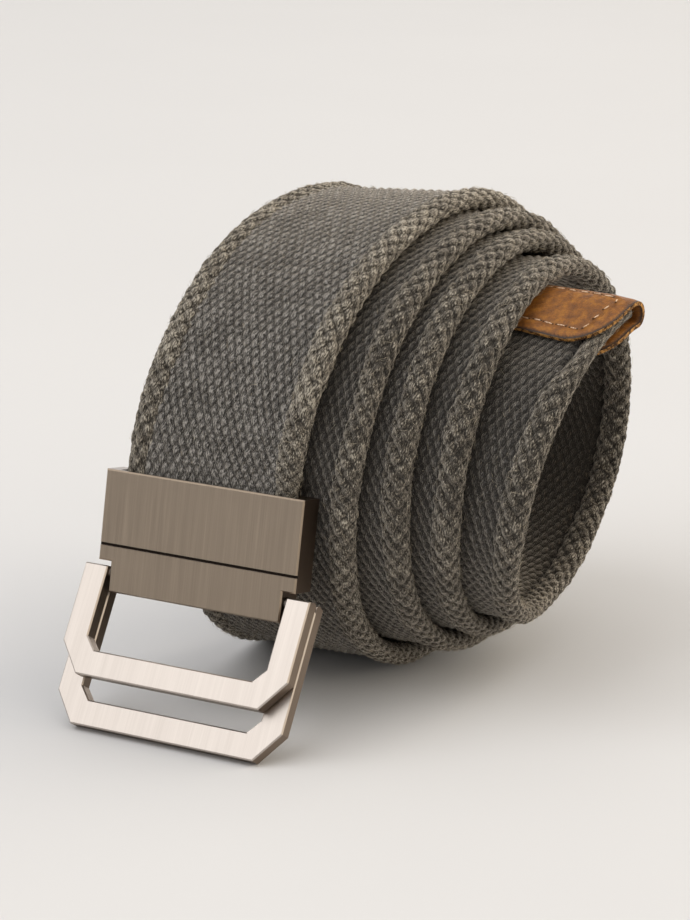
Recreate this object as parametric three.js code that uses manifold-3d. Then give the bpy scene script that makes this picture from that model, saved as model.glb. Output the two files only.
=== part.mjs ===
// A thick webbing belt with a double-ring clasp, rolled up and lying on its side on the floor.
// Millimetres, +Z up. +X runs along the roll towards its open right end, -Y is the front.
import * as THREE from 'three';
import * as BufferGeometryUtils from 'three/addons/utils/BufferGeometryUtils.js';
import Module from 'manifold-3d';

const wasm = await Module();
wasm.setup();
const { degToRad } = THREE.MathUtils;

// Webbing: a flat web between two woven ridges, each wider than it is high
const STRAP_WIDTH = 38;
const WEB_THICKNESS = 2.6;
const RIDGE_RADIUS = 2.1;
const RIDGE_SPREAD = 1.38;
const RIDGE_SIDES = 10;
const TIP_RIDGE_RADIUS = 1.35;
const TIP_FLATTENED_LENGTH = 15;
const TIP_EASING_LENGTH = 10;
const SECTIONS_PER_TURN = 32;

// Leather strip folded over the free end: its two leaves, their corners and the hollow in the fold
const LEATHER_WIDTH = 40.6;
const LEATHER_THICKNESS = 1.2;
const LEATHER_CLEARANCE = 0.3;
const LEAF_LENGTH = 12.6;
const LEAF_CORNER_RADIUS = 9;
const FOLD_HOLLOW = 1.2;

// Clasp block, measured down from its top and back from its front
const BLOCK_WIDTH = 43.6;
const BLOCK_HEIGHT = 23.8;
const BLOCK_DEPTH = 6.4;
const BLOCK_CHAMFER = 0.3;
const SHOULDER_DROP = 17.8;
const NECK_WIDTH = 38;
const SLOT_DEPTH = 13.6;
const SLOT_BACK = 3.2;
const SLOT_CLEARANCE = 0.3;
const STRAP_HELD = 13.2;
const HELD_RIDGE_RADIUS = 1.8;
const HELD_EASING_LENGTH = 7;
const GROOVE_DROP = 14.6;
const GROOVE_WIDTH = 0.6;
const GROOVE_DEPTH = 0.45;

// Rings: flat plates with cut lower corners, each on a round bar inside the neck of the block
const RING_WIDTH = 49.8;
const RING_THICKNESS = 3;
const RING_CHAMFER = 0.25;
const ARM_WIDTH = 5.1;
const FOOT_WIDTH = 5.1;
const ARM_TOP_RISE = 0.75;
const OUTER_CUT = { across: 4.7, up: 6 };
const INNER_CUT = { across: 2.3, up: 2.6 };
const BAR_RADIUS = 1;
const BAR_CLEARANCE = 0.3;
const BAR_SPACING = 2.45;
const BAR_SIDES = 16;
const RING_GAP = 0.3;
const BAR_DROP = 20.6;
const BAR_BACK = 3.2;
const RING_SWING = degToRad(21.1);
const RINGS = [
  { name: 'front_ring', side: 1, length: 21.2 },
  { name: 'rear_ring', side: -1, length: 30.35 },
];

// The clasp hangs from the middle of its top front edge, its foot leaning forward
const CLASP = { x: -0.8, y: -52.1, z: 47.75, lean: degToRad(-12.4) };

// The roll: at each eighth of a turn, counted from the clasp up over the top, the strap's distance from
// the roll's axis, its shift to the right and its lean in degrees, the right edge inward when positive
const AXIS_HEIGHT = 47;
const FLOOR_FLAT = 0.4;
const ROLL_COLUMNS = ['turn', 'radius', 'shift', 'lean'];
const ROLL = [
  [0.000, 49.0, -1.0, -1.8],
  [0.125, 48.2, 4.6, -3.3],
  [0.250, 47.4, 10.2, -3.6],
  [0.375, 47.4, 11.5, -2.2],
  [0.500, 46.8, 9.7, -0.3],
  [0.625, 45.8, 6.6, 0.6],
  [0.750, 45.1, 4.6, 0.8],
  [0.875, 44.9, 5.4, 1.2],
  [1.000, 43.8, 9.2, -1.2],
  [1.125, 44.3, 13.7, -1.9],
  [1.250, 44.0, 17.6, -4.0],
  [1.375, 43.6, 19.7, -2.9],
  [1.500, 42.7, 19.2, -0.6],
  [1.625, 41.5, 17.4, 0.4],
  [1.750, 40.6, 15.9, 0.5],
  [1.875, 40.3, 15.9, 0.8],
  [2.000, 40.1, 18.0, 0.0],
  [2.125, 40.4, 20.7, -2.2],
  [2.250, 40.4, 23.4, -3.9],
  [2.375, 39.8, 24.9, -2.8],
  [2.500, 38.6, 24.4, -0.8],
  [2.625, 37.4, 22.7, 0.0],
  [2.750, 36.5, 21.8, 0.1],
  [2.875, 36.1, 23.2, 0.2],
  [3.000, 36.0, 26.9, -0.2],
  [3.125, 36.5, 29.7, -1.3],
  [3.250, 36.6, 31.1, -2.4],
  [3.375, 35.9, 31.6, -1.6],
  [3.500, 34.6, 31.0, -0.6],
  [3.625, 33.3, 29.1, 0.0],
  [3.750, 32.4, 28.7, 0.1],
  [3.875, 32.1, 32.6, 0.0],
  [4.000, 31.8, 39.0, -0.2],
  [4.125, 31.3, 44.2, -1.0],
  [4.250, 31.35, 48.1, -2.2],
].map((row) => Object.fromEntries(ROLL_COLUMNS.map((column, i) => [column, row[i]])));
const ROLL_STEP = 0.125;
const LEAD_IN_TURN = 0.09;
const TIP_TURN = 4.232;
const FINE_TURNS = 0.125;

// Moves the finished part so that the middle of its box stands over the origin
const BOX_MIDDLE = { x: 21.26, y: -10.43 };

const METAL = { color: 0x9d938c, roughness: 0.34, metalness: 1 };
const BRIGHT_METAL = { color: 0xd9d0ca, roughness: 0.3, metalness: 1 };
const WEBBING = { color: 0x57534e, roughness: 0.95, metalness: 0 };
const LEATHER = { color: 0x8a5a26, roughness: 0.6, metalness: 0 };

const namedMesh = (name, geometry, finish) => {
  const mesh = new THREE.Mesh(geometry, new THREE.MeshStandardMaterial(finish));
  mesh.name = name;
  return mesh;
};

const toManifold = (geometry) => {
  const bare = geometry.index ? geometry.toNonIndexed() : geometry.clone();
  bare.deleteAttribute('normal');
  bare.deleteAttribute('uv');
  const merged = BufferGeometryUtils.mergeVertices(bare, 1e-4);
  return new wasm.Manifold(new wasm.Mesh({
    numProp: 3,
    vertProperties: new Float32Array(merged.attributes.position.array),
    triVerts: new Uint32Array(merged.index.array),
  }));
};

const toGeometry = (solid) => {
  const mesh = solid.getMesh();
  const geometry = new THREE.BufferGeometry();
  geometry.setAttribute('position', new THREE.BufferAttribute(new Float32Array(mesh.vertProperties), 3));
  geometry.setIndex(new THREE.BufferAttribute(new Uint32Array(mesh.triVerts), 1));
  return geometry;
};

const box = (width, depth, height, x, y, z) => new THREE.BoxGeometry(width, depth, height).translate(x, y, z);

// A plate standing in the XZ plane, its front towards -Y, with chamfered edges
const plate = (shape, front, thickness, chamfer) => {
  const geometry = new THREE.ExtrudeGeometry(shape, {
    depth: thickness - 2 * chamfer,
    bevelEnabled: true,
    bevelThickness: chamfer,
    bevelSize: chamfer,
    bevelOffset: -chamfer,
    bevelSegments: 1,
  });
  return geometry.rotateX(Math.PI / 2).translate(0, front + thickness - chamfer, 0);
};

// The row of the roll's table at any turn, on a smooth curve through the rows
const between = (a, b, c, d, t) => 0.5 * (
  2 * b + (c - a) * t + (2 * a - 5 * b + 4 * c - d) * t * t + (3 * b - a - 3 * c + d) * t * t * t
);

const rollValue = (column, turn) => {
  const place = THREE.MathUtils.clamp(turn / ROLL_STEP, 0, ROLL.length - 1.001);
  const i = Math.floor(place);
  const at = (k) => {
    if (k < 0) return 2 * ROLL[0][column] - ROLL[1][column];
    if (k >= ROLL.length) return 2 * ROLL[k - 1][column] - ROLL[k - 2][column];
    return ROLL[k][column];
  };
  return between(at(i - 1), at(i), at(i + 1), at(i + 2), place - i);
};

const outwardAt = (turn) => {
  const angle = 2 * Math.PI * turn;
  return new THREE.Vector3(0, -Math.cos(angle), Math.sin(angle));
};

const rollPoint = (turn) => outwardAt(turn)
  .multiplyScalar(rollValue('radius', turn))
  .add(new THREE.Vector3(rollValue('shift', turn), 0, AXIS_HEIGHT));

// A station of the strap: its centre, its run, its width to the right and its outward face
const station = (centre, run, width) => {
  const across = width.clone().addScaledVector(run, -width.dot(run)).normalize();
  return { centre, run, across, outward: new THREE.Vector3().crossVectors(run, across).negate() };
};

const rollStation = (turn) => {
  const nudge = 0.002;
  const run = rollPoint(turn + nudge).sub(rollPoint(turn - nudge)).normalize();
  const lean = degToRad(rollValue('lean', turn));
  const width = new THREE.Vector3(Math.cos(lean), 0, 0).addScaledVector(outwardAt(turn), -Math.sin(lean));
  return station(rollPoint(turn), run, width);
};

// The clasp's own frame, shared by the block, the rings and the stretch of strap that the block holds
const clasp = new THREE.Group();
clasp.position.set(CLASP.x, CLASP.y, CLASP.z);
clasp.rotation.set(CLASP.lean, 0, 0);
clasp.updateMatrix();

const heldStation = (drop) => {
  const rotation = new THREE.Matrix4().extractRotation(clasp.matrix);
  const up = new THREE.Vector3(0, 0, 1).applyMatrix4(rotation);
  const centre = new THREE.Vector3(0, SLOT_BACK, -drop).applyMatrix4(clasp.matrix);
  return station(centre, up, new THREE.Vector3(1, 0, 0));
};

// Between the block and the roll the strap follows one smooth curve
const leadStation = (share) => {
  const start = heldStation(0);
  const end = rollStation(LEAD_IN_TURN);
  const span = start.centre.distanceTo(end.centre);
  const curve = new THREE.CubicBezierCurve3(
    start.centre,
    start.centre.clone().addScaledVector(start.run, span / 3),
    end.centre.clone().addScaledVector(end.run, -span / 3),
    end.centre,
  );
  const across = start.across.clone().lerp(end.across, share);
  return station(curve.getPoint(share), curve.getTangent(share), across);
};

const turnsFrom = (from, to, perTurn) => {
  const count = Math.round((to - from) * perTurn);
  return Array.from({ length: count }, (_, i) => THREE.MathUtils.lerp(from, to, i / count));
};

const strapStations = () => {
  const held = [STRAP_HELD, STRAP_HELD / 2, 0.5].map(heldStation);
  const lead = [1, 2, 3].map((i) => leadStation(i / 4));
  const fineFrom = TIP_TURN - FINE_TURNS;
  const roll = turnsFrom(LEAD_IN_TURN, fineFrom, SECTIONS_PER_TURN).map(rollStation);
  const tip = turnsFrom(fineFrom, TIP_TURN, 2 * SECTIONS_PER_TURN).map(rollStation);
  return [...held, ...lead, ...roll, ...tip, rollStation(TIP_TURN)];
};

// The strap's section: points counted round from the right ridge, as width and height from the middle
const strapSection = (ridgeRadius) => {
  const wide = RIDGE_SPREAD * ridgeRadius;
  const middle = STRAP_WIDTH / 2 - RIDGE_RADIUS + ridgeRadius - wide;
  const half = WEB_THICKNESS / 2;
  const meet = Math.asin(Math.min(1, half / ridgeRadius));
  const sweep = 2 * (Math.PI - meet);
  const ridge = Array.from({ length: RIDGE_SIDES + 1 }, (_, i) => {
    const angle = -Math.PI + meet + (i / RIDGE_SIDES) * sweep;
    return [middle + wide * Math.cos(angle), ridgeRadius * Math.sin(angle)];
  });
  const web = [[6, half], [-6, half]];
  const mirrored = ridge.map(([across, height]) => [-across, -height]);
  return [...ridge, ...web, ...mirrored, ...web.map(([across, height]) => [-across, -height])];
};

const placed = (at, [across, height]) => at.centre.clone()
  .addScaledVector(at.across, across)
  .addScaledVector(at.outward, height);

// Lifts whatever a section pushes through the floor, each side by its own amount, and lays its lowest
// points flat on it
const pressedToFloor = (points, section) => {
  const lift = (side) => Math.max(0, ...points.filter((_, i) => section[i][0] * side > 0).map((p) => -p.z));
  const right = lift(1);
  const left = lift(-1);
  return points.map((p, i) => {
    const share = THREE.MathUtils.clamp(section[i][0] / (STRAP_WIDTH - 2 * RIDGE_RADIUS) + 0.5, 0, 1);
    const height = p.z + THREE.MathUtils.lerp(left, right, share);
    return p.clone().setZ(height < FLOOR_FLAT ? 0 : height);
  });
};

// Closes a row of equal rings of points into one solid, with a flat cap at each end
const loft = (rings) => {
  const size = rings[0].length;
  const position = rings.flat().flatMap((p) => [p.x, p.y, p.z]);
  const index = [];
  rings.slice(1).forEach((_, row) => {
    for (let i = 0; i < size; i += 1) {
      const a = row * size + i;
      const b = row * size + ((i + 1) % size);
      index.push(a, a + size, b, b, a + size, b + size);
    }
  });
  const cap = (ring, first, flipped) => {
    const normal = ring.reduce((sum, p, i) => (
      sum.add(p.clone().sub(ring[0]).cross(ring[(i + 1) % size].clone().sub(ring[0])))
    ), new THREE.Vector3()).normalize();
    const across = ring[0].clone().sub(ring[Math.floor(size / 2)]).normalize();
    const height = new THREE.Vector3().crossVectors(normal, across);
    const flat = ring.map((p) => new THREE.Vector2(p.dot(across), p.dot(height)));
    THREE.ShapeUtils.triangulateShape(flat, []).forEach(([a, b, c]) => {
      index.push(first + a, first + (flipped ? c : b), first + (flipped ? b : c));
    });
  };
  cap(rings[0], 0, false);
  cap(rings[rings.length - 1], (rings.length - 1) * size, true);
  const geometry = new THREE.BufferGeometry();
  geometry.setAttribute('position', new THREE.BufferAttribute(new Float32Array(position), 3));
  geometry.setIndex(index);
  return geometry;
};

// How far along the strap each station lies, from the end held in the clasp
const distancesAlong = (stations) => {
  const along = [0];
  stations.slice(1).forEach((at, i) => along.push(along[i] + at.centre.distanceTo(stations[i].centre)));
  return along;
};

// The ridges are pressed flatter inside the block and inside the leather
const ridgeRadiusAt = (along, length) => {
  const { lerp, smoothstep } = THREE.MathUtils;
  const held = smoothstep(along, STRAP_HELD, STRAP_HELD + HELD_EASING_LENGTH);
  const free = smoothstep(length - along, TIP_FLATTENED_LENGTH, TIP_FLATTENED_LENGTH + TIP_EASING_LENGTH);
  return Math.min(lerp(HELD_RIDGE_RADIUS, RIDGE_RADIUS, held), lerp(TIP_RIDGE_RADIUS, RIDGE_RADIUS, free));
};

const makeStrap = () => {
  const stations = strapStations();
  const along = distancesAlong(stations);
  const rings = stations.map((at, i) => {
    const section = strapSection(ridgeRadiusAt(along[i], along[along.length - 1]));
    return pressedToFloor(section.map((point) => placed(at, point)), section);
  });
  return namedMesh('strap', loft(rings), WEBBING);
};

// Where the strap is, a given length back from its free end; negative lengths run straight on past the end
const backFromTip = (length) => {
  const end = rollStation(TIP_TURN);
  if (length <= 0) {
    return { ...end, centre: end.centre.clone().addScaledVector(end.run, -length) };
  }
  return rollStation(TIP_TURN - length / (2 * Math.PI * rollValue('radius', TIP_TURN)));
};

// The leather: one strip that runs up the outside, round the fold and down the inside, as a section in
// length back from the strap's end and height above its middle
const leatherSection = (cornerDrop) => {
  const inner = TIP_RIDGE_RADIUS + LEATHER_CLEARANCE;
  const leafSteps = 5;
  const foldSteps = 10;
  const side = (radius) => {
    const leaf = Array.from({ length: leafSteps }, (_, i) => (
      [THREE.MathUtils.lerp(LEAF_LENGTH - cornerDrop, -FOLD_HOLLOW, i / leafSteps), radius]
    ));
    const fold = Array.from({ length: foldSteps + 1 }, (_, i) => {
      const angle = Math.PI / 2 - (i / foldSteps) * Math.PI;
      return [-FOLD_HOLLOW - radius * Math.cos(angle), radius * Math.sin(angle)];
    });
    return [...leaf, ...fold, ...leaf.map(([length]) => [length, -radius]).reverse()];
  };
  return [...side(inner + LEATHER_THICKNESS), ...side(inner).reverse()];
};

const makeLeatherTip = () => {
  const straight = LEATHER_WIDTH / 2 - LEAF_CORNER_RADIUS;
  const cornerSteps = 5;
  const corner = Array.from({ length: cornerSteps + 1 }, (_, i) => {
    const angle = (i / cornerSteps) * (Math.PI / 2);
    return {
      across: straight + LEAF_CORNER_RADIUS * Math.sin(angle),
      drop: LEAF_CORNER_RADIUS * (1 - Math.cos(angle)),
    };
  });
  const columns = [...corner.map(({ across, drop }) => ({ across: -across, drop })).reverse(), ...corner];
  const rings = columns.map(({ across, drop }) => (
    leatherSection(drop).map(([length, height]) => placed(backFromTip(length), [across, height]))
  ));
  return namedMesh('leather_tip', loft(rings), LEATHER);
};

// Block: shoulders above a narrower neck, with the strap's slot, the groove and the rings' shared channel
const blockOutline = () => {
  const half = BLOCK_WIDTH / 2;
  const neck = NECK_WIDTH / 2;
  return new THREE.Shape([
    [-half, 0], [-half, -SHOULDER_DROP], [-neck, -SHOULDER_DROP], [-neck, -BLOCK_HEIGHT],
    [neck, -BLOCK_HEIGHT], [neck, -SHOULDER_DROP], [half, -SHOULDER_DROP], [half, 0],
  ].map(([x, z]) => new THREE.Vector2(x, z)));
};

const barPlace = (side) => ({
  y: BAR_BACK - (side * BAR_SPACING * Math.cos(RING_SWING)) / 2,
  z: -BAR_DROP + (side * BAR_SPACING * Math.sin(RING_SWING)) / 2,
});

const barCylinder = (radius, width) => new THREE.CylinderGeometry(radius, radius, width, BAR_SIDES)
  .rotateZ(Math.PI / 2);

const makeBlock = () => {
  const body = toManifold(plate(blockOutline(), 0, BLOCK_DEPTH, BLOCK_CHAMFER));
  const slotThickness = 2 * (HELD_RIDGE_RADIUS + SLOT_CLEARANCE);
  const slot = toManifold(box(
    STRAP_WIDTH + 2 * SLOT_CLEARANCE, slotThickness, 2 * SLOT_DEPTH, 0, SLOT_BACK, 0,
  ));
  const groove = toManifold(box(BLOCK_WIDTH + 2, 2 * GROOVE_DEPTH, GROOVE_WIDTH, 0, 0, -GROOVE_DROP));
  const boreRadius = BAR_RADIUS + BAR_CLEARANCE;
  const cutLength = NECK_WIDTH + 2;
  const bores = RINGS.map(({ side }) => {
    const { y, z } = barPlace(side);
    return toManifold(barCylinder(boreRadius, cutLength).translate(0, y, z));
  });
  const web = box(cutLength, BAR_SPACING, 2 * boreRadius, 0, 0, 0).rotateX(-RING_SWING);
  const channel = toManifold(web.translate(0, BAR_BACK, -BAR_DROP));
  const solid = [slot, groove, ...bores, channel].reduce((left, cut) => left.subtract(cut), body);
  return namedMesh('clasp_block', toGeometry(solid), METAL);
};

// Ring: an open plate with cut lower corners, its arms joined by the round bar that it turns on
const ringOutline = (length) => {
  const half = RING_WIDTH / 2;
  const inner = half - ARM_WIDTH;
  const foot = FOOT_WIDTH - length;
  return new THREE.Shape([
    [-half, ARM_TOP_RISE], [-half, OUTER_CUT.up - length], [OUTER_CUT.across - half, -length],
    [half - OUTER_CUT.across, -length], [half, OUTER_CUT.up - length], [half, ARM_TOP_RISE],
    [inner, ARM_TOP_RISE], [inner, foot + INNER_CUT.up], [inner - INNER_CUT.across, foot],
    [INNER_CUT.across - inner, foot], [-inner, foot + INNER_CUT.up], [-inner, ARM_TOP_RISE],
  ].map(([x, z]) => new THREE.Vector2(x, z)));
};

const makeRing = ({ name, side, length }) => {
  const near = RING_GAP / 2 - BAR_SPACING / 2;
  const plateFront = side > 0 ? -(near + RING_THICKNESS) : near;
  const arms = toManifold(plate(ringOutline(length), plateFront, RING_THICKNESS, RING_CHAMFER));
  const bar = toManifold(barCylinder(BAR_RADIUS, RING_WIDTH - 2 * ARM_WIDTH + 2));
  const knuckleRadius = BAR_SPACING / 2 - RING_GAP / 2;
  const knuckles = [-1, 1].map((edge) => toManifold(
    barCylinder(knuckleRadius, ARM_WIDTH).translate((edge * (RING_WIDTH - ARM_WIDTH)) / 2, 0, 0),
  ));
  const solid = [bar, ...knuckles].reduce((joined, piece) => joined.add(piece), arms);
  const mesh = namedMesh(name, toGeometry(solid), BRIGHT_METAL);
  const { y, z } = barPlace(side);
  mesh.position.set(0, y, z);
  mesh.rotation.x = -RING_SWING;
  return mesh;
};

const belt = new THREE.Group();
clasp.add(makeBlock(), ...RINGS.map(makeRing));
belt.add(makeStrap(), makeLeatherTip(), clasp);
belt.position.set(-BOX_MIDDLE.x, -BOX_MIDDLE.y, 0);

export default belt;
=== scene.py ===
"""A thick webbing belt with a leather tip and a brushed double-ring clasp, rolled up on a pale floor."""

import math

import bmesh
import bpy
import numpy as np
from mathutils import Matrix, Vector, noise


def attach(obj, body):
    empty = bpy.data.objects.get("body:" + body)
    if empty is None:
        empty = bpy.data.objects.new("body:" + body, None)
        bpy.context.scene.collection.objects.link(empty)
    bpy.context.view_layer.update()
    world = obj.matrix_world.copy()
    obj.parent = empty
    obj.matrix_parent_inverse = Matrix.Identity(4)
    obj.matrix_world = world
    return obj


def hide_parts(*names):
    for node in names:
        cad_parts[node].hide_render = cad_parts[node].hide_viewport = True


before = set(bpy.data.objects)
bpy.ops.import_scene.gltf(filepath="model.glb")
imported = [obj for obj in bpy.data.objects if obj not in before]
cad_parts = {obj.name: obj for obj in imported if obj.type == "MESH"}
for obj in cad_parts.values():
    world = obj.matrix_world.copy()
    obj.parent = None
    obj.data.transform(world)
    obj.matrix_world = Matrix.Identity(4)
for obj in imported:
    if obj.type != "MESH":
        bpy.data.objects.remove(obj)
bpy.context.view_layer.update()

MM = 0.001

# Webbing, in millimetres as in the part's source
STRAP_WIDTH = 38
WEB_THICKNESS = 2.6
RIDGE_RADIUS = 2.1
RIDGE_MIDDLE = STRAP_WIDTH / 2 - RIDGE_RADIUS
TIP_RIDGE_RADIUS = 1.35
TIP_FLATTENED_LENGTH = 15
TIP_EASING_LENGTH = 10
HELD_RIDGE_RADIUS = 1.8
HELD_EASING_LENGTH = 7
STRAP_HELD = 13.2

# Leather strip folded over the free end
LEATHER_WIDTH = 40.6
LEATHER_THICKNESS = 1.2
LEATHER_CLEARANCE = 0.3
LEATHER_MIDDLE = TIP_RIDGE_RADIUS + LEATHER_CLEARANCE + LEATHER_THICKNESS / 2
LEAF_LENGTH = 12.6
LEAF_CORNER_RADIUS = 9
FOLD_HOLLOW = 1.2
LEAF_CROWN = 0.85

# The clasp's place: the middle of its top front edge, its foot leaning forward
CLASP_CORNER = (-0.8, -52.1, 47.75)
CLASP_LEAN = math.radians(-12.4)
SLOT_BACK = 3.2
AXIS_HEIGHT = 47
BOX_MIDDLE = np.array([21.26, -10.43, 0])

# The roll at each eighth of a turn: distance from its axis, shift to the right, lean in degrees
ROLL_STEP = 0.125
ROLL_COLUMNS = ("turn", "radius", "shift", "lean")
ROLL = np.array([
    (0.000, 49.0, -1.0, -1.8),
    (0.125, 48.2, 4.6, -3.3),
    (0.250, 47.4, 10.2, -3.6),
    (0.375, 47.4, 11.5, -2.2),
    (0.500, 46.8, 9.7, -0.3),
    (0.625, 45.8, 6.6, 0.6),
    (0.750, 45.1, 4.6, 0.8),
    (0.875, 44.9, 5.4, 1.2),
    (1.000, 43.8, 9.2, -1.2),
    (1.125, 44.3, 13.7, -1.9),
    (1.250, 44.0, 17.6, -4.0),
    (1.375, 43.6, 19.7, -2.9),
    (1.500, 42.7, 19.2, -0.6),
    (1.625, 41.5, 17.4, 0.4),
    (1.750, 40.6, 15.9, 0.5),
    (1.875, 40.3, 15.9, 0.8),
    (2.000, 40.1, 18.0, 0.0),
    (2.125, 40.4, 20.7, -2.2),
    (2.250, 40.4, 23.4, -3.9),
    (2.375, 39.8, 24.9, -2.8),
    (2.500, 38.6, 24.4, -0.8),
    (2.625, 37.4, 22.7, 0.0),
    (2.750, 36.5, 21.8, 0.1),
    (2.875, 36.1, 23.2, 0.2),
    (3.000, 36.0, 26.9, -0.2),
    (3.125, 36.5, 29.7, -1.3),
    (3.250, 36.6, 31.1, -2.4),
    (3.375, 35.9, 31.6, -1.6),
    (3.500, 34.6, 31.0, -0.6),
    (3.625, 33.3, 29.1, 0.0),
    (3.750, 32.4, 28.7, 0.1),
    (3.875, 32.1, 32.6, 0.0),
    (4.000, 31.8, 39.0, -0.2),
    (4.125, 31.3, 44.2, -1.0),
    (4.250, 31.35, 48.1, -2.2),
])
LEAD_IN_TURN = 0.09
TIP_TURN = 4.232
STRAP_END_TURN = 4.238
RUN_STEP = 0.002
HELD_STATIONS, LEAD_STATIONS, ROLL_STATIONS = 30, 60, 3500

# Ridges are wider than high, and stand no further out than the CAD solid's
RIDGE_SPREAD = 1.38
TIP_SPREAD = 1.2
PRESSED_RADIUS = 1.2
RIDGE_COLUMNS = 6
RIDGE_POINTS_AROUND = 38
RIDGE_POINTS_ALONG = 2480

# Weave, measured on the photo in millimetres: floats of yarn on two staggered lattices, slanting a little.
# A sharpness under 1 makes floats blunt, and their sunk share lies under the face of the cloth
WEB_WEAVE = {
    "across": 1.83, "along": 3.4, "half_width": 0.7, "half_length": 1.04, "slants": (2, 2), "skew": 0.09,
    "relief": 0.42, "sharpness": 1, "sunk": 0.5, "swell": (0.75, 1.1), "seed": 21,
}
RIDGE_WEAVE = {
    "across": 2.65, "along": 3.3, "half_width": 1.1, "half_length": 1.4, "slants": (26, -26), "skew": 0.0,
    "relief": 0.62, "sharpness": 0.6, "sunk": 0.72, "swell": (0.7, 1.1), "seed": 11,
}
POINTS_PER_FLOAT = 4
FLOAT_NUMBERS = 4096
NUMBERS_PER_COLUMN = 57

# The web reaches into both ridges; its inner face has few columns and a pattern that starts further on
WEB_REACH = RIDGE_MIDDLE - 1.4
WEB_EDGE_EASING = 1.0
INNER_COLUMNS = 8
PATTERN_START = 50 * WEB_WEAVE["across"]
INNER_FACE_START = 183
# Near both ends the floats run straight, and where the ridges are pressed the web is thinner and smooth
STRAIGHT_ENDS = (2, 14)
THINNED_WEB_EXCESS = 0.12
SMOOTH_WEB_SHARE = 0.95

# Unevenness of cloth worn and rolled by hand, in millimetres: how much, over what stretch, and a seed
POINTS_PER_STRETCH = 12
UNEVEN = {
    "ridge_height": (0.13, 11, 12.4),
    "ridge_width": (0.3, 17, 5.5),
    "ridge_floats": (0.5, 9, 3.1),
    "ridge_floats_slow": (0.4, 31, 7.7),
    "web_floats": (0.6, 13, 21.3),
    "web_floats_short": (0.25, 7, 61.3),
    "web_pucker": (0.12, 8, 44.1),
    "web_pucker_short": (0.1, 6, 51.2),
    "leather": (0.06, 5, 81.0),
}

# Loose fibres in millimetres, most of them on the ridges. Real ones are 0.01 mm in radius, drawn coarser
FIBRE_COUNT = 9500
FIBRE_RADIUS = 0.028
FIBRE_TAPER = (1.15, 0.55)
FIBRE_LENGTH = (0.7, 2.0)
FIBRE_ROOT_DEPTH = 0.05
FIBRE_STEPS = 2
FIBRE_LEAN = 0.8
FIBRE_CURL = 0.7
FIBRE_FAN = 2.2
FIBRES_ON_RIDGES = 0.78
FIBRES_FROM_ENDS = 1
FIBRE_REACH = RIDGE_MIDDLE - 3

# The leather's mesh: rows crowd round the fold, columns towards the sides, where the corners turn
LEATHER_COLUMNS, LEATHER_ROWS = 96, 84
FOLD_ROWS_SHARE = 0.3
COLUMN_CROWDING = 0.46 * math.pi
LEAVES_APART = 40
PARED_SHARE = 0.62
PARED_LENGTH = 4
CUT_EDGE_ROUNDING = 0.16

# Stitching on each leaf of the leather: a box of thread, as distances across and back from the strap's end
STITCH_FOLD_SIDE = 17.6
STITCH_OPEN_SIDE = 15.4
STITCH_FOLD_ROW = 0.2
STITCH_OPEN_ROW = 9.9
STITCH_CORNER = 1.2
STITCH_PITCH = 2.75
STITCH_LENGTH = 1.95
STITCH_UNEVENNESS = (0.72, 1.12)
STITCH_SHIFT = 0.07
STITCH_SLANT = 0.12
THREAD_HALF_WIDTH = (0.11, 0.15)
THREAD_HALF_HEIGHT = 0.12
THREAD_LIFT = 0.01
HOLE_HALF_SIZE = (0.32, 0.22, 0.05)
HOLE_BEYOND_STITCH = 0.1
HOLE_SUNK = 0.02

# Clasp: the groove across the block, down from its top, the painted shade in it, and the metal's broken
# edges
GROOVE_DROP = 14.6
GROOVE_WIDTH = 0.6
GROOVE_SHADE_MARGIN = 0.02
GROOVE_SHADE_DEPTHS = (0.03, 0.6)
RING_SWING = math.radians(21.1)
BLOCK_EDGE = 0.2
RING_EDGE = 0.12

# The photo's viewpoint, in degrees and millimetres; azimuths are counted from +X towards +Y
CAMERA_AZIMUTH = 298
CAMERA_ELEVATION = 17
CAMERA_DISTANCE = 600
CAMERA_TARGET = Vector((-16.26, 4.59, 40.9))
FOCAL_PIXELS = 2952.6
PHOTO_HEIGHT = 920
SENSOR_SIDE = 36

# Round soft lights: name, azimuth, elevation, width in metres, power in watts, colour
LAMP_DISTANCE = 3.2
LAMPS = (
    ("front_softbox", 239, 43, 3.8, 61, (0.985, 0.99, 1)),
    ("back_softbox", 38, 28, 3.4, 74, (1, 0.89, 0.73)),
    ("side_fill", 335, 26, 2.4, 18, (1, 0.87, 0.68)),
)
FLOOR_HALF_SIDE = 3
WALL_GLOW = 2.3
CEILING_GLOW = 1.0
ROOM_GLOW = 0.11
GLOW_COLOUR = (1, 0.975, 0.95, 1)


def linear(hex_colour):
    """An sRGB hex colour as linear red, green, blue and alpha."""
    parts = [int(hex_colour[i:i + 2], 16) / 255 for i in (1, 3, 5)]
    return (*[c / 12.92 if c <= 0.04045 else ((c + 0.055) / 1.055) ** 2.4 for c in parts], 1)


def direction(azimuth, elevation):
    """The way from the belt towards a camera or a light, from angles in degrees."""
    azimuth, elevation = math.radians(azimuth), math.radians(elevation)
    return Vector((
        math.cos(azimuth) * math.cos(elevation),
        math.sin(azimuth) * math.cos(elevation),
        math.sin(elevation),
    ))


def add_object(name, data):
    made = bpy.data.objects.new(name, data)
    bpy.context.scene.collection.objects.link(made)
    return made


def add_aimed(name, data, away, distance):
    """A camera or a light at a distance, looking back along the way it stands."""
    made = add_object(name, data)
    made.location = away * distance
    made.rotation_mode = "QUATERNION"
    made.rotation_quaternion = away.to_track_quat("Z", "Y")
    return made


def add_node(tree, kind, *inputs, **settings):
    """Adds a node with its settings, and sets or links its inputs in order; None leaves one as it is."""
    node = tree.nodes.new("ShaderNode" + kind)
    for name, value in settings.items():
        setattr(node, name, value)
    for socket, value in zip([s for s in node.inputs if s.enabled], inputs):
        if isinstance(value, bpy.types.NodeSocket):
            tree.links.new(value, socket)
        elif value is not None:
            socket.default_value = value
    return node


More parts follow.
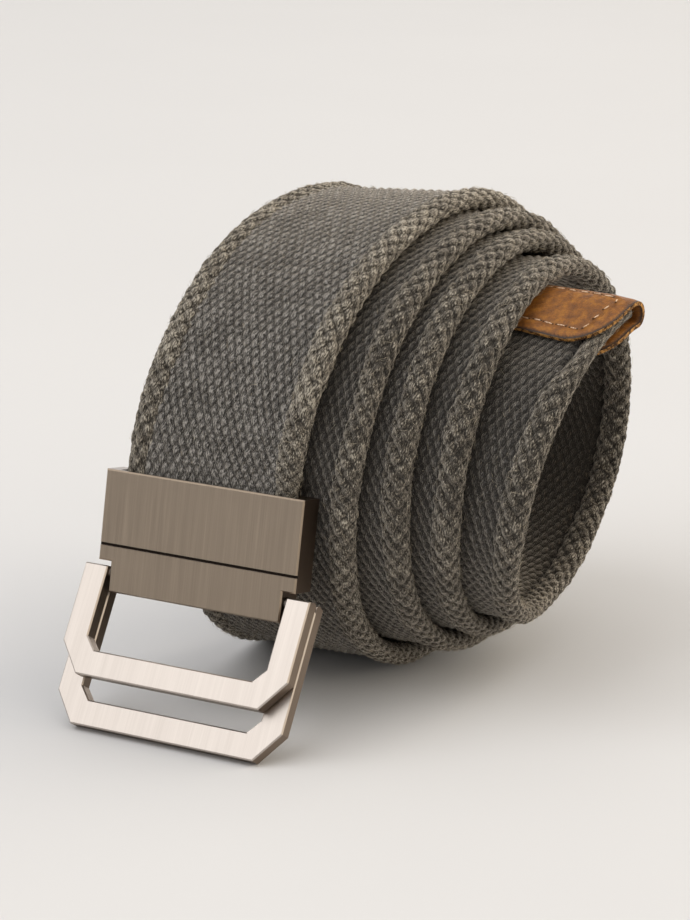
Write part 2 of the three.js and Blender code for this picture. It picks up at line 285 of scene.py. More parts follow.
def weighted_sum(tree, base, *parts):
    """A base with parts added to it, each part a value and its share."""
    for value, share in parts:
        base = add_node(tree, "Math", value, share, base, operation="MULTIPLY_ADD").outputs[0]
    return base


def set_stops(ramp, *colours):
    """Gives a colour ramp its stops, each a place from 0 to 1 and a hex colour."""
    stops = ramp.color_ramp.elements
    for stop, (place, colour) in zip(stops, (colours[0], colours[-1])):
        stop.position, stop.color = place, linear(colour)
    for place, colour in colours[1:-1]:
        stops.new(place).color = linear(colour)


def new_material(name, **shader_values):
    """A material with a bare shader on its output: returns the material, its tree and the shader."""
    material = bpy.data.materials.new(name)
    material.use_nodes = True
    tree = material.node_tree
    shader = tree.nodes["Principled BSDF"]
    for socket, value in shader_values.items():
        shader.inputs[socket.replace("_", " ")].default_value = value
    return material, tree, shader


def give_relief(tree, shader, height, depth, strength=1.0):
    """Bumps the shader's surface by a height, as deep as depth in metres where the height is 1."""
    bump = add_node(tree, "Bump", strength, depth)
    tree.links.new(height, bump.inputs["Height"])
    tree.links.new(bump.outputs[0], shader.inputs["Normal"])


def flecked_colour(tree, shader, scale, dark, light, *noise_inputs):
    """Colours a shader in fine flecks between two stops; returns how light each fleck is."""
    place = add_node(tree, "TexCoord").outputs["Object"]
    fleck = add_node(tree, "TexNoise", place, scale, *noise_inputs).outputs[0]
    ramp = add_node(tree, "ValToRGB", fleck)
    set_stops(ramp, dark, light)
    tree.links.new(ramp.outputs[0], shader.inputs["Base Color"])
    return fleck


def place_camera():
    """The camera, which the placing of everything else is judged by."""
    camera = bpy.data.cameras.new("camera")
    camera.sensor_fit = "AUTO"
    camera.sensor_width = SENSOR_SIDE
    camera.lens = FOCAL_PIXELS * SENSOR_SIDE / PHOTO_HEIGHT
    camera.clip_start = 0.01
    eye = add_aimed("camera", camera, direction(CAMERA_AZIMUTH, CAMERA_ELEVATION), CAMERA_DISTANCE * MM)
    eye.location += CAMERA_TARGET * MM
    bpy.context.scene.camera = eye


def unit(vectors):
    return vectors / np.linalg.norm(vectors, axis=-1, keepdims=True)


def smoothstep(x, low, high):
    t = np.clip((x - low) / (high - low), 0, 1)
    return t * t * (3 - 2 * t)


def roll_value(column, turn):
    """A column of the roll's table at any turn, on a smooth curve through its rows."""
    values = ROLL[:, ROLL_COLUMNS.index(column)]
    before, after = [2 * values[0] - values[1]], [2 * values[-1] - values[-2]]
    padded = np.concatenate([before, values, after, after])
    # Stops just short of the last row, so that a next row is always there
    place = np.clip(np.asarray(turn) / ROLL_STEP, 0, len(values) - 1.001)
    i = np.floor(place).astype(int)
    t = place - i
    a, b, c, d = (padded[i + k] for k in range(4))
    square, cube = 2 * a - 5 * b + 4 * c - d, 3 * b - a - 3 * c + d
    return 0.5 * (2 * b + (c - a) * t + square * t ** 2 + cube * t ** 3)


def outward_at(turn):
    """Away from the roll's axis; turn 0 is its front."""
    angle = 2 * math.pi * np.asarray(turn)
    return np.stack([0 * angle, -np.cos(angle), np.sin(angle)], -1)


def roll_point(turn):
    middle = np.stack([roll_value("shift", turn), 0 * turn, 0 * turn + AXIS_HEIGHT], -1)
    return outward_at(turn) * roll_value("radius", turn)[:, None] + middle


def stations(centre, run, width):
    """Stations of the strap, each a centre, a run, a width to the right and an outward face."""
    across = unit(width - run * np.sum(width * run, -1, keepdims=True))
    return {"centre": centre, "run": run, "across": across, "outward": -np.cross(run, across)}


def roll_stations(turn):
    turn = np.asarray(turn, float)
    run = unit(roll_point(turn + RUN_STEP) - roll_point(turn - RUN_STEP))
    lean = np.radians(roll_value("lean", turn))[:, None]
    width = np.array([1, 0, 0]) * np.cos(lean) - outward_at(turn) * np.sin(lean)
    return stations(roll_point(turn), run, width)


def held_stations(drop):
    """Stations inside the clasp, by their drop below its top."""
    drop = np.asarray(drop, float)[:, None]
    cos, sin = math.cos(CLASP_LEAN), math.sin(CLASP_LEAN)
    up = np.array([0, -sin, cos])
    back = np.array([0, cos, sin])
    centre = np.array(CLASP_CORNER) + back * SLOT_BACK - up * drop
    return stations(centre, np.broadcast_to(up, centre.shape), np.broadcast_to([1.0, 0, 0], centre.shape))


def lead_stations(share):
    """Between the clasp and the roll the strap follows one smooth curve."""
    share = np.asarray(share, float)[:, None]
    start, end = held_stations([0]), roll_stations([LEAD_IN_TURN])
    a, d = start["centre"], end["centre"]
    span = np.linalg.norm(d - a)
    b, c = a + start["run"] * span / 3, d - end["run"] * span / 3
    rest = 1 - share
    centre = rest ** 3 * a + 3 * rest ** 2 * share * b + 3 * rest * share ** 2 * c + share ** 3 * d
    run = unit(rest ** 2 * (b - a) + 2 * rest * share * (c - b) + share ** 2 * (d - c))
    return stations(centre, run, start["across"] * rest + end["across"] * share)


def ridge_radius(along, length):
    """The ridges are pressed flatter inside the clasp and inside the leather."""
    held = smoothstep(along, STRAP_HELD, STRAP_HELD + HELD_EASING_LENGTH)
    free = smoothstep(length - along, TIP_FLATTENED_LENGTH, TIP_FLATTENED_LENGTH + TIP_EASING_LENGTH)
    return np.minimum(
        HELD_RIDGE_RADIUS + (RIDGE_RADIUS - HELD_RIDGE_RADIUS) * held,
        TIP_RIDGE_RADIUS + (RIDGE_RADIUS - TIP_RIDGE_RADIUS) * free,
    )


def fullness(radius):
    """From 0 where a ridge is pressed flat to 1 where it is full."""
    return np.clip((radius - PRESSED_RADIUS) / (RIDGE_RADIUS - PRESSED_RADIUS), 0, 1)


def strap_path():
    """Fine stations from the end in the clasp to the free end, each with its length along the strap."""
    rows = (
        held_stations(np.linspace(STRAP_HELD, 0, HELD_STATIONS, endpoint=False)),
        lead_stations(np.linspace(0, 1, LEAD_STATIONS, endpoint=False)),
        roll_stations(np.linspace(LEAD_IN_TURN, STRAP_END_TURN, ROLL_STATIONS)),
    )
    path = {key: np.concatenate([row[key] for row in rows]) for key in rows[0]}
    steps = np.linalg.norm(np.diff(path["centre"], axis=0), axis=1)
    path["along"] = np.concatenate([[0], np.cumsum(steps)])
    # How far each ridge would sink into the floor, which it is lifted by
    radius = ridge_radius(path["along"], path["along"][-1])
    for name, side in (("right", 1), ("left", -1)):
        low = (path["centre"] + path["across"] * side * RIDGE_MIDDLE)[:, 2] - radius
        path[name] = np.maximum(0, -low)
    return path


def at_length(path, along):
    """The path's stations at any lengths along it, and the lift of the left and the right ridge there."""
    found = {}
    for key in ("centre", "run", "across", "outward"):
        found[key] = np.stack([np.interp(along, path["along"], path[key][:, k]) for k in range(3)], -1)
    lifts = [np.interp(along, path["along"], path[side]) for side in ("left", "right")]
    return found, *lifts


def on_strap(path, along, across, height):
    """Points beside and above the strap's middle, kept off the floor as the CAD solid is."""
    at, left, right = at_length(path, along)
    points = at["centre"] + at["across"] * across[:, None] + at["outward"] * height[:, None]
    share = np.clip(across / (2 * RIDGE_MIDDLE) + 0.5, 0, 1)
    points[:, 2] = np.maximum(points[:, 2] + left + (right - left) * share, 0)
    return (points - BOX_MIDDLE) * MM


def belt_piece(name, mesh, *materials):
    """A piece that rides on the belt itself, from its mesh."""
    for material in materials:
        mesh.materials.append(material)
    piece = add_object(name, mesh)
    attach(piece, "belt")
    return piece


def finished(name, bm, *materials):
    """A smooth piece of the belt from its bmesh."""
    mesh = bpy.data.meshes.new(name)
    bm.to_mesh(mesh)
    bm.free()
    mesh.polygons.foreach_set("use_smooth", [True] * len(mesh.polygons))
    return belt_piece(name, mesh, *materials)


def uneven(kind, along, side=1):
    """Slow unevenness along a piece, the same at each run; either side of the strap has its own."""
    size, stretch, seed = UNEVEN[kind]
    count = max(2, int(np.ptp(along) / stretch * POINTS_PER_STRETCH))
    steps = np.linspace(along.min(), along.max() + 1e-6, count)
    waves = [noise.noise(Vector((step / stretch, seed * side, 0))) for step in steps]
    return size * np.interp(along, steps, waves)


def float_height(across, along, weave):
    """How high each point stands on its float, from 0 in the gaps to 1, and the float's own number."""
    best, number = np.zeros_like(across), np.zeros_like(across)
    for shift, slant in zip((0, 0.5), weave["slants"]):
        cos, sin = math.cos(math.radians(slant)), math.sin(math.radians(slant))
        place = across / weave["across"] + shift
        column = np.floor(place)
        u = (place - column - 0.5) * weave["across"]
        place = (along - weave["skew"] * across) / weave["along"] + shift
        row = np.floor(place)
        v = (place - row - 0.5) * weave["along"]
        x, y = (u * cos - v * sin) / weave["half_width"], (u * sin + v * cos) / weave["half_length"]
        high = np.clip(1 - x * x - y * y, 0, 1)
        number = np.where(high > best, column * NUMBERS_PER_COLUMN + row * 2 + 2 * shift, number)
        best = np.maximum(best, high)
    return best, number


def float_relief(across, along, weave, seed):
    """How far the floats stand out of the cloth's face, each float swelling by its own amount."""
    swell = np.random.default_rng(seed).uniform(*weave["swell"], FLOAT_NUMBERS)
    high, number = float_height(across, along, weave)
    high = high ** weave["sharpness"] * swell[np.mod(number.astype(int), FLOAT_NUMBERS)]
    return weave["relief"] * (high - weave["sunk"])


def woven_tube(name, columns, rows, place, material):
    """A grid of columns around and rows along, put in place, closed to a tube, and mapped by its weave."""
    bm = bmesh.new()
    bmesh.ops.create_grid(bm, x_segments=columns, y_segments=rows, size=0.5)
    flat = np.array([v.co[:2] for v in bm.verts]) + 0.5
    points, pattern = place(flat[:, 0], flat[:, 1])
    for vert, point in zip(bm.verts, points):
        vert.co = point
    layer = bm.loops.layers.uv.new("weave")
    for face in bm.faces:
        for loop in face.loops:
            loop[layer].uv = pattern[loop.vert.index]
    bmesh.ops.remove_doubles(bm, verts=bm.verts, dist=1e-7)
    open_edges = [e for e in bm.edges if e.is_boundary]
    bmesh.ops.holes_fill(bm, edges=open_edges, sides=0)
    bmesh.ops.recalc_face_normals(bm, faces=bm.faces)
    return finished(name, bm, material)


def ridge_surface(side, along, angle, length, stand):
    """Across and height of a ridge's surface, or of what stands out of it; angle 0 faces off the web."""
    radius = ridge_radius(along, length)
    full = fullness(radius)
    # Towards the free end the ridges are pressed wider as well as flatter
    spread = np.where(along > length / 2, TIP_SPREAD * (RIDGE_RADIUS - radius), 0)
    radius = radius + full * uneven("ridge_height", along, side)
    wide = RIDGE_SPREAD * radius + full * uneven("ridge_width", along, side)
    middle = RIDGE_MIDDLE + radius - wide + spread
    across = side * (middle + (wide + stand) * np.cos(angle))
    return across, (radius + stand) * np.sin(angle)


def build_ridge(name, side, path, material):
    """One woven edge cord: a soft padded tube whose floats stand out of it in a herringbone."""
    length = path["along"][-1]

    def place(share_around, share_along):
        along = share_along * length
        wobble = uneven("ridge_floats", along, side) + uneven("ridge_floats_slow", along, side)
        pattern_across = share_around * RIDGE_COLUMNS * RIDGE_WEAVE["across"]
        pattern_along = along + wobble
        stand = float_relief(pattern_across, pattern_along, RIDGE_WEAVE, RIDGE_WEAVE["seed"] + side)
        stand = stand * fullness(ridge_radius(along, length))
        across, height = ridge_surface(side, along, share_around * 2 * math.pi, length, stand)
        return on_strap(path, along, across, height), np.stack([pattern_across, pattern_along], -1)

    return woven_tube(name, RIDGE_POINTS_AROUND, RIDGE_POINTS_ALONG, place, material)


def build_web(path, material):
    """The flat web between the ridges: floats stand out of its outer face, its edges lie in the ridges."""
    length = path["along"][-1]
    # Points fall on the quarters of a float, so that each float has its top on a point
    column_step, row_step = WEB_WEAVE["across"] / POINTS_PER_FLOAT, WEB_WEAVE["along"] / POINTS_PER_FLOAT
    columns, rows = 2 * round(WEB_REACH / column_step), round(length / row_step)
    reach = columns / 2 * column_step

    def place(share_around, share_along):
        column = share_around * (columns + INNER_COLUMNS)
        outer = column < columns
        inner_across = reach * (2 * (column - columns) / INNER_COLUMNS - 1)
        across = np.where(outer, reach - column * column_step, inner_across)
        straight = share_along * length
        wobble = uneven("web_floats", straight) + uneven("web_floats_short", straight + 3 * across)
        free = smoothstep(straight, *STRAIGHT_ENDS) * smoothstep(length - straight, *STRAIGHT_ENDS)
        along = straight + free * (WEB_WEAVE["skew"] * across - wobble)
        pattern_across = across + PATTERN_START + np.where(outer, 0, INNER_FACE_START)
        pattern_along = share_along * rows * row_step + WEB_WEAVE["skew"] * pattern_across
        relief = float_relief(pattern_across, pattern_along, WEB_WEAVE, WEB_WEAVE["seed"])
        pucker = uneven("web_pucker", straight) + uneven("web_pucker_short", straight + 2 * across)
        pucker = pucker + np.where(outer, relief, 0)
        share = ridge_radius(along, length) / RIDGE_RADIUS
        half = WEB_THICKNESS / 2 * np.minimum(share + THINNED_WEB_EXCESS, 1)
        eased = np.clip((reach - np.abs(across)) / WEB_EDGE_EASING, 0, 1)
        height = (np.where(outer, half, -half) + pucker * (share > SMOOTH_WEB_SHARE)) * eased
        return on_strap(path, along, across, height), np.stack([pattern_across, pattern_along], -1)

    return woven_tube("strap_web", columns + INNER_COLUMNS, rows, place, material)


def fibre_rows(path, count):
    """Points of all loose fibres, one row for each step from their roots to their ends."""
    length = path["along"][-1]
    rng = np.random.default_rng(5)
    on_ridge = rng.random(count) < FIBRES_ON_RIDGES
    side = np.where(rng.random(count) < 0.5, -1, 1)
    along = rng.uniform(STRAP_HELD + FIBRES_FROM_ENDS, length - FIBRES_FROM_ENDS, count)
    angle = rng.uniform(-FIBRE_FAN, FIBRE_FAN, count)
    web_across = rng.uniform(-FIBRE_REACH, FIBRE_REACH, count)
    hair = rng.uniform(*FIBRE_LENGTH, count)
    lean_along, lean_across = rng.normal(0, FIBRE_LEAN, count), rng.normal(0, FIBRE_LEAN, count)
    curl = rng.normal(0, FIBRE_CURL, (count, 2))
    rows = []
    for share in np.linspace(0, 1, FIBRE_STEPS + 1):
        # A hair rises and bends over, while it leans and curls to either side
        stand = hair * 0.5 * (share - 0.45 * share ** 2) - FIBRE_ROOT_DEPTH
        at = along + hair * (0.75 * lean_along * share + 0.5 * curl[:, 0] * share ** 2)
        bend = lean_across * share + curl[:, 1] * share ** 2
        turn = angle + hair * bend / 4.5
        right, left = (ridge_surface(s, at, turn, length, stand) for s in (1, -1))
        ridge_across, ridge_height = np.where(side > 0, right, left)
        across = np.where(on_ridge, ridge_across, web_across + hair * 0.4 * bend)
        height = np.where(on_ridge, ridge_height, WEB_THICKNESS / 2 + 0.8 * stand)
        row = on_strap(path, np.clip(at, 0, length), across, height)
        row[:, 2] = np.maximum(row[:, 2], 2 * FIBRE_RADIUS * MM)
        rows.append(row)
    return rows


def build_fibres(path, material, count):
    """Loose fibres that stand off the yarn, thickest along the ridges, as fine bent hairs."""
    hairs = bpy.data.curves.new("loose_fibres", "CURVE")
    hairs.dimensions = "3D"
    hairs.bevel_depth = FIBRE_RADIUS * MM
    hairs.bevel_resolution = 0
    hairs.use_fill_caps = True
    radii = np.linspace(*FIBRE_TAPER, FIBRE_STEPS + 1)
    for points in zip(*fibre_rows(path, count)):
        spline = hairs.splines.new("POLY")
        spline.points.add(FIBRE_STEPS)
        for bent, point, radius in zip(spline.points, points, radii):
            bent.co = (*point, 1)
            bent.radius = radius
    made = add_object("loose_fibres_curve", hairs)
    mesh = bpy.data.meshes.new_from_object(made.evaluated_get(bpy.context.evaluated_depsgraph_get()))
    bpy.data.objects.remove(made)
    bpy.data.curves.remove(hairs)
    mesh.materials.clear()
    return belt_piece("loose_fibres", mesh, material)


def back_from_tip(length):
    """Stations back along the strap from its end; a negative length goes straight on past the end."""
    radius = roll_value("radius", np.array([TIP_TURN]))[0]
    at = roll_stations(TIP_TURN - np.maximum(length, 0) / (2 * math.pi * radius))
    at["centre"] = at["centre"] + at["run"] * np.maximum(-length, 0)[:, None]
    return at


def on_leather(length, across, out, face):
    """Points on a leaf, face 1 outside and -1 inside; past the fold's start they follow its round.
    Placed by length back from the strap's end, distance across and distance out of the hide's middle."""
    bend = np.clip((-FOLD_HOLLOW - length) / LEATHER_MIDDLE, 0, math.pi / 2)
    away = LEATHER_MIDDLE + out
    height = face * away * np.cos(bend)
    back = np.where(length > -FOLD_HOLLOW, length, -FOLD_HOLLOW - away * np.sin(bend))
    at = back_from_tip(back)
    points = at["centre"] + at["across"] * across[:, None] + at["outward"] * height[:, None]
    normal = unit(at["outward"] * (face * np.cos(bend))[:, None] + at["run"] * np.sin(bend)[:, None])
    return (points - BOX_MIDDLE) * MM, at, normal


def corner_drop(across):
    """How much shorter a leaf is towards its rounded corners."""
    over = np.clip(np.abs(across) - (LEATHER_WIDTH / 2 - LEAF_CORNER_RADIUS), 0, LEAF_CORNER_RADIUS)
    return LEAF_CORNER_RADIUS - np.sqrt(LEAF_CORNER_RADIUS ** 2 - over ** 2)


def inside_edge(across, length):
    """How far each point of a leaf lies inside its cut edge, round the corners too."""
    over = np.abs(across) - (LEATHER_WIDTH / 2 - LEAF_CORNER_RADIUS)
    past = length - (LEAF_LENGTH - LEAF_CORNER_RADIUS)
    in_corner = (over > 0) & (past > 0)
    return LEAF_CORNER_RADIUS - np.where(in_corner, np.hypot(over, past), np.maximum(over, past))


def leaf_crown(across, length, face):
    """The outer leaf swells a little towards the fold, on its right half."""
    share = smoothstep(across, -8, 2) * (1 - smoothstep(across, 14.5, 20)) * (1 - smoothstep(length, 1, 9))
    return np.where(face > 0, LEAF_CROWN, 0) * share * smoothstep(length, -3, 0)


def seam_outline():
    """The seam's closed line, across and along: narrower at the open edge, its corners a little round."""
    corners = np.array([
        (STITCH_FOLD_SIDE, STITCH_FOLD_ROW), (STITCH_OPEN_SIDE, STITCH_OPEN_ROW),
        (-STITCH_OPEN_SIDE, STITCH_OPEN_ROW), (-STITCH_FOLD_SIDE, STITCH_FOLD_ROW),
    ])
    t = np.linspace(0, 1, 7)[:, None]
    bends = []
    for i, corner in enumerate(corners):
        start = corner + STITCH_CORNER * unit(corners[i - 1] - corner)
        end = corner + STITCH_CORNER * unit(corners[(i + 1) % 4] - corner)
        bends.append((1 - t) ** 2 * start + 2 * t * (1 - t) * corner + t ** 2 * end)
    return np.concatenate([*bends, bends[0][:1]])


def along_seam(places):
    """Points of the seam's line by shares of its whole length, and that length."""
    outline = seam_outline()
    run = np.concatenate([[0], np.cumsum(np.linalg.norm(np.diff(outline, axis=0), axis=1))])
    return np.stack([np.interp(places * run[-1], run, outline[:, k]) for k in range(2)], -1), run[-1]


def stitch_places():
    """The two ends of each stitch round the seam."""
    whole = along_seam(np.zeros(1))[1]
    count = round(whole / STITCH_PITCH)
    middles = (np.arange(count) + 0.5) / count
    reach = STITCH_LENGTH / 2 / whole
    return along_seam(middles - reach)[0], along_seam(middles + reach)[0]


def build_leather(material, edge_material):
    """One strip of hide folded over the strap's end, its leaves' corners rounded."""
    bm = bmesh.new()
    bmesh.ops.create_grid(bm, x_segments=LEATHER_COLUMNS, y_segments=LEATHER_ROWS, size=0.5)
    flat = np.array([v.co[:2] for v in bm.verts])
    across = np.sin(flat[:, 0] * 2 * COLUMN_CROWDING) / math.sin(COLUMN_CROWDING) * LEATHER_WIDTH / 2
    share = np.abs(flat[:, 1]) * 2
    face = np.where(flat[:, 1] < 0, 1, -1)
    leaf = LEAF_LENGTH - corner_drop(across) + FOLD_HOLLOW
    fold = LEATHER_MIDDLE * math.pi / 2
    length = -FOLD_HOLLOW + np.where(
        share > FOLD_ROWS_SHARE,
        (share - FOLD_ROWS_SHARE) / (1 - FOLD_ROWS_SHARE) * leaf,
        (share - FOLD_ROWS_SHARE) / FOLD_ROWS_SHARE * fold,
    )
    out = uneven("leather", across + LEAVES_APART * face) + leaf_crown(across, length, face)
    points = on_leather(length, across, out, face)[0]
    for vert, point in zip(bm.verts, points):
        vert.co = point
    to_edge = inside_edge(across, length)
    seam = along_seam(np.linspace(0, 1, 400))[0]
    to_seam = np.min(np.hypot(across[:, None] - seam[:, 0], length[:, None] - seam[:, 1]), axis=1)
    maps = {
        "grain": np.stack([across, length + LEAVES_APART * face], -1),
        "edges": np.stack([np.maximum(to_edge, 0), to_seam], -1),
    }
    for name, values in maps.items():
        layer = bm.loops.layers.uv.new(name)
        for quad in bm.faces:
            for loop in quad.loops:
                loop[layer].uv = values[loop.vert.index]
    bmesh.ops.recalc_face_normals(bm, faces=bm.faces)
    piece = finished("leather_fold", bm, material, edge_material)
    # The hide is pared thinner towards its cut edges
    pared = piece.vertex_groups.new(name="pared")
    for i, near in enumerate(to_edge):
        pared.add([i], min(PARED_SHARE + max(near, 0) / PARED_LENGTH, 1), "REPLACE")
    wall = piece.modifiers.new("wall", "SOLIDIFY")
    wall.thickness = LEATHER_THICKNESS * MM
    wall.offset = 0
    wall.use_even_offset = True
    wall.material_offset_rim = 1
    wall.vertex_group = "pared"
    rounding = piece.modifiers.new("rounding", "BEVEL")
    rounding.width = CUT_EDGE_ROUNDING * MM
    rounding.segments = 2
    rounding.limit_method = "ANGLE"
    rounding.angle_limit = math.radians(50)
    return piece


def build_stitches(thread, hole):
    """Waxed thread lying in its seam, each stitch dipping into a needle hole at both ends."""
    rng = np.random.default_rng(3)
    lying = Matrix.Rotation(math.pi / 2, 4, "Y")
    small = Matrix.Diagonal((*[side * MM for side in HOLE_HALF_SIZE], 1))
    bm = bmesh.new()
    for face in (1, -1):
        for start, end in zip(*stitch_places()):
            middle = (start + end) / 2 + rng.normal(0, STITCH_SHIFT, 2)
            across, length = middle[:1], middle[1:]
            out = LEATHER_THICKNESS / 2 + THREAD_LIFT + leaf_crown(across, length, face)
            point, at, normal = on_leather(length, across, out, face)
            normal = Vector(normal[0])
            heading = end - start + rng.normal(0, STITCH_SLANT, 2)
            along = Vector(at["across"][0]) * heading[0] - Vector(at["run"][0]) * heading[1]
            along = (along - normal * along.dot(normal)).normalized()
            turn = Matrix((along, normal.cross(along), normal)).transposed().to_4x4()
            place = Matrix.Translation(Vector(point[0])) @ turn
            half = STITCH_LENGTH / 2 * rng.uniform(*STITCH_UNEVENNESS)
            half_width = rng.uniform(*THREAD_HALF_WIDTH)
            size = Matrix.Diagonal((half * MM, half_width * MM, THREAD_HALF_HEIGHT * MM, 1))
            stitch = place @ size @ lying
            bmesh.ops.create_uvsphere(bm, u_segments=10, v_segments=8, radius=1, matrix=stitch)
            for way in (-1, 1):
                first = len(bm.faces)
                beyond = along * way * (half + HOLE_BEYOND_STITCH) * MM - normal * HOLE_SUNK * MM
                pit = Matrix.Translation(beyond) @ place @ small
                bmesh.ops.create_uvsphere(bm, u_segments=8, v_segments=5, radius=1, matrix=pit)
                bm.faces.ensure_lookup_table()
                for made in bm.faces[first:]:
                    made.material_index = 1
    return finished("leather_stitches", bm, thread, hole)


def weave_nodes(tree, weave):
    """The floats of float_height for a material: height, number, the map, and its across and along."""
    uv = add_node(tree, "UVMap", uv_map="weave").outputs[0]
    across, along = add_node(tree, "SeparateXYZ", uv).outputs[:2]
    straight = weighted_sum(tree, along, (across, -weave["skew"]))
    flat = add_node(tree, "CombineXYZ", across, straight, 0.0).outputs[0]
    per_float = (1 / weave["across"], 1 / weave["along"], 0)
    lattices = []
    for shift, slant in zip((0.0, 0.5), weave["slants"]):
        cos, sin = math.cos(math.radians(slant)), math.sin(math.radians(slant))
        shifts = (shift, shift, 0)
        place = add_node(tree, "VectorMath", flat, per_float, shifts, operation="MULTIPLY_ADD").outputs[0]
        cell = add_node(tree, "VectorMath", place, operation="FLOOR").outputs[0]
        within = add_node(tree, "VectorMath", place, cell, operation="SUBTRACT").outputs[0]
        within = add_node(tree, "VectorMath", within, (0.5, 0.5, 0), operation="SUBTRACT").outputs[0]
        parts = []
        for half, (u, v) in ((weave["half_width"], (cos, -sin)), (weave["half_length"], (sin, cos))):
            axis = (u * weave["across"] / half, v * weave["along"] / half, 0)
            part = add_node(tree, "VectorMath", within, axis, operation="DOT_PRODUCT")
            parts.append(part.outputs["Value"])
        offset = add_node(tree, "CombineXYZ", *parts, 0.0).outputs[0]
        reach = add_node(tree, "VectorMath", offset, offset, operation="DOT_PRODUCT").outputs["Value"]
        high = add_node(tree, "Math", 1.0, reach, operation="SUBTRACT", use_clamp=True).outputs[0]
        moved = add_node(tree, "VectorMath", cell, (shift * 3, shift * 5, 0), operation="ADD").outputs[0]
        number = add_node(tree, "TexWhiteNoise", moved, noise_dimensions="2D").outputs["Value"]
        lattices.append((high, number))
    (high_a, number_a), (high_b, number_b) = lattices
    high = add_node(tree, "Math", high_a, high_b, operation="MAXIMUM").outputs[0]
    second = add_node(tree, "Math", high_b, high_a, operation="GREATER_THAN").outputs[0]
    number = add_node(tree, "Mix", second, number_a, number_b).outputs["Result"]
    return high, number, uv, across, along


def marl_cotton(name, weave, colours, gap_shade, float_lift, sheen, inner_turn_shade):
    """Marl cotton webbing: matt yarn spun of pale and dark fibres, woven into small raised floats."""
    material, tree, shader = new_material(
        name, Roughness=0.95, IOR=1.5, Specular_IOR_Level=0.2,
        Sheen_Weight=sheen, Sheen_Roughness=0.5, Sheen_Tint=linear("#d2c9bb"),
    )
    high, number, uv, across, along = weave_nodes(tree, weave)
    # Real fibres are 0.02 mm thick; drawn about 0.2 mm wide and 0.7 mm long, two ways, so that they show
    lays = []
    for start, slant, per_mm in (((0, 0, 0), 0.5, (4.4, 1.5, 1)), ((7, 3, 0), -0.45, (4.0, 1.7, 1))):
        lay = add_node(tree, "Mapping", uv, start, (0, 0, slant), per_mm).outputs[0]
        lays.append(add_node(tree, "TexNoise", lay, 1.0, 2.0, 0.55, noise_dimensions="2D").outputs[0])
    fibres = add_node(tree, "Math", *lays, operation="ADD").outputs[0]
    # Cloudy patches of about 6 mm, from yarn that was spun unevenly
    patch = add_node(tree, "TexNoise", uv, 0.16, 3.0, 0.6, noise_dimensions="2D").outputs[0]
    # The turns under the outer one get painted shade, so they are coloured darker than the outer turn
    kept = add_node(tree, "MapRange", along, 250.0, 330.0, 0.0, -inner_turn_shade).outputs[0]
    # The gaps between floats are coloured darker than the float tops: painted shade in the gaps
    tone = weighted_sum(
        tree, -0.5 * gap_shade,
        (high, gap_shade), (fibres, 2.1), (number, 0.26), (patch, 0.6), (kept, 1.0),
    )
    tone = add_node(tree, "MapRange", tone, 1.98, 3.1).outputs[0]
    ramp = add_node(tree, "ValToRGB", tone)
    set_stops(ramp, *colours)
    # The strap's inner face, inside the roll, gets painted shade: a little warmer and darker
    inner_start = PATTERN_START + INNER_FACE_START / 2
    inner = add_node(tree, "Math", across, inner_start, operation="GREATER_THAN").outputs[0]
    warm = linear("#c9b8a2")
    hollow_shaded = add_node(tree, "Mix", inner, ramp.outputs[0], warm, data_type="RGBA", blend_type="MULTIPLY")
    tree.links.new(hollow_shaded.outputs["Result"], shader.inputs["Base Color"])
    lift = weighted_sum(tree, 0.0, (high, float_lift), (fibres, 0.26), (number, 0.10))
    give_relief(tree, shader, lift, MM)
    return material


def cotton_fibre():
    """Cotton fibre ends: fine, pale and dry, so they show against a dark ground."""
    material, tree, shader = new_material("cotton_fibre", Roughness=0.8, IOR=1.5, Specular_IOR_Level=0.3)
    flecked_colour(tree, shader, 0.9 / MM, (0.36, "#5a544b"), (0.62, "#cabda6"), 1.0)
    return material


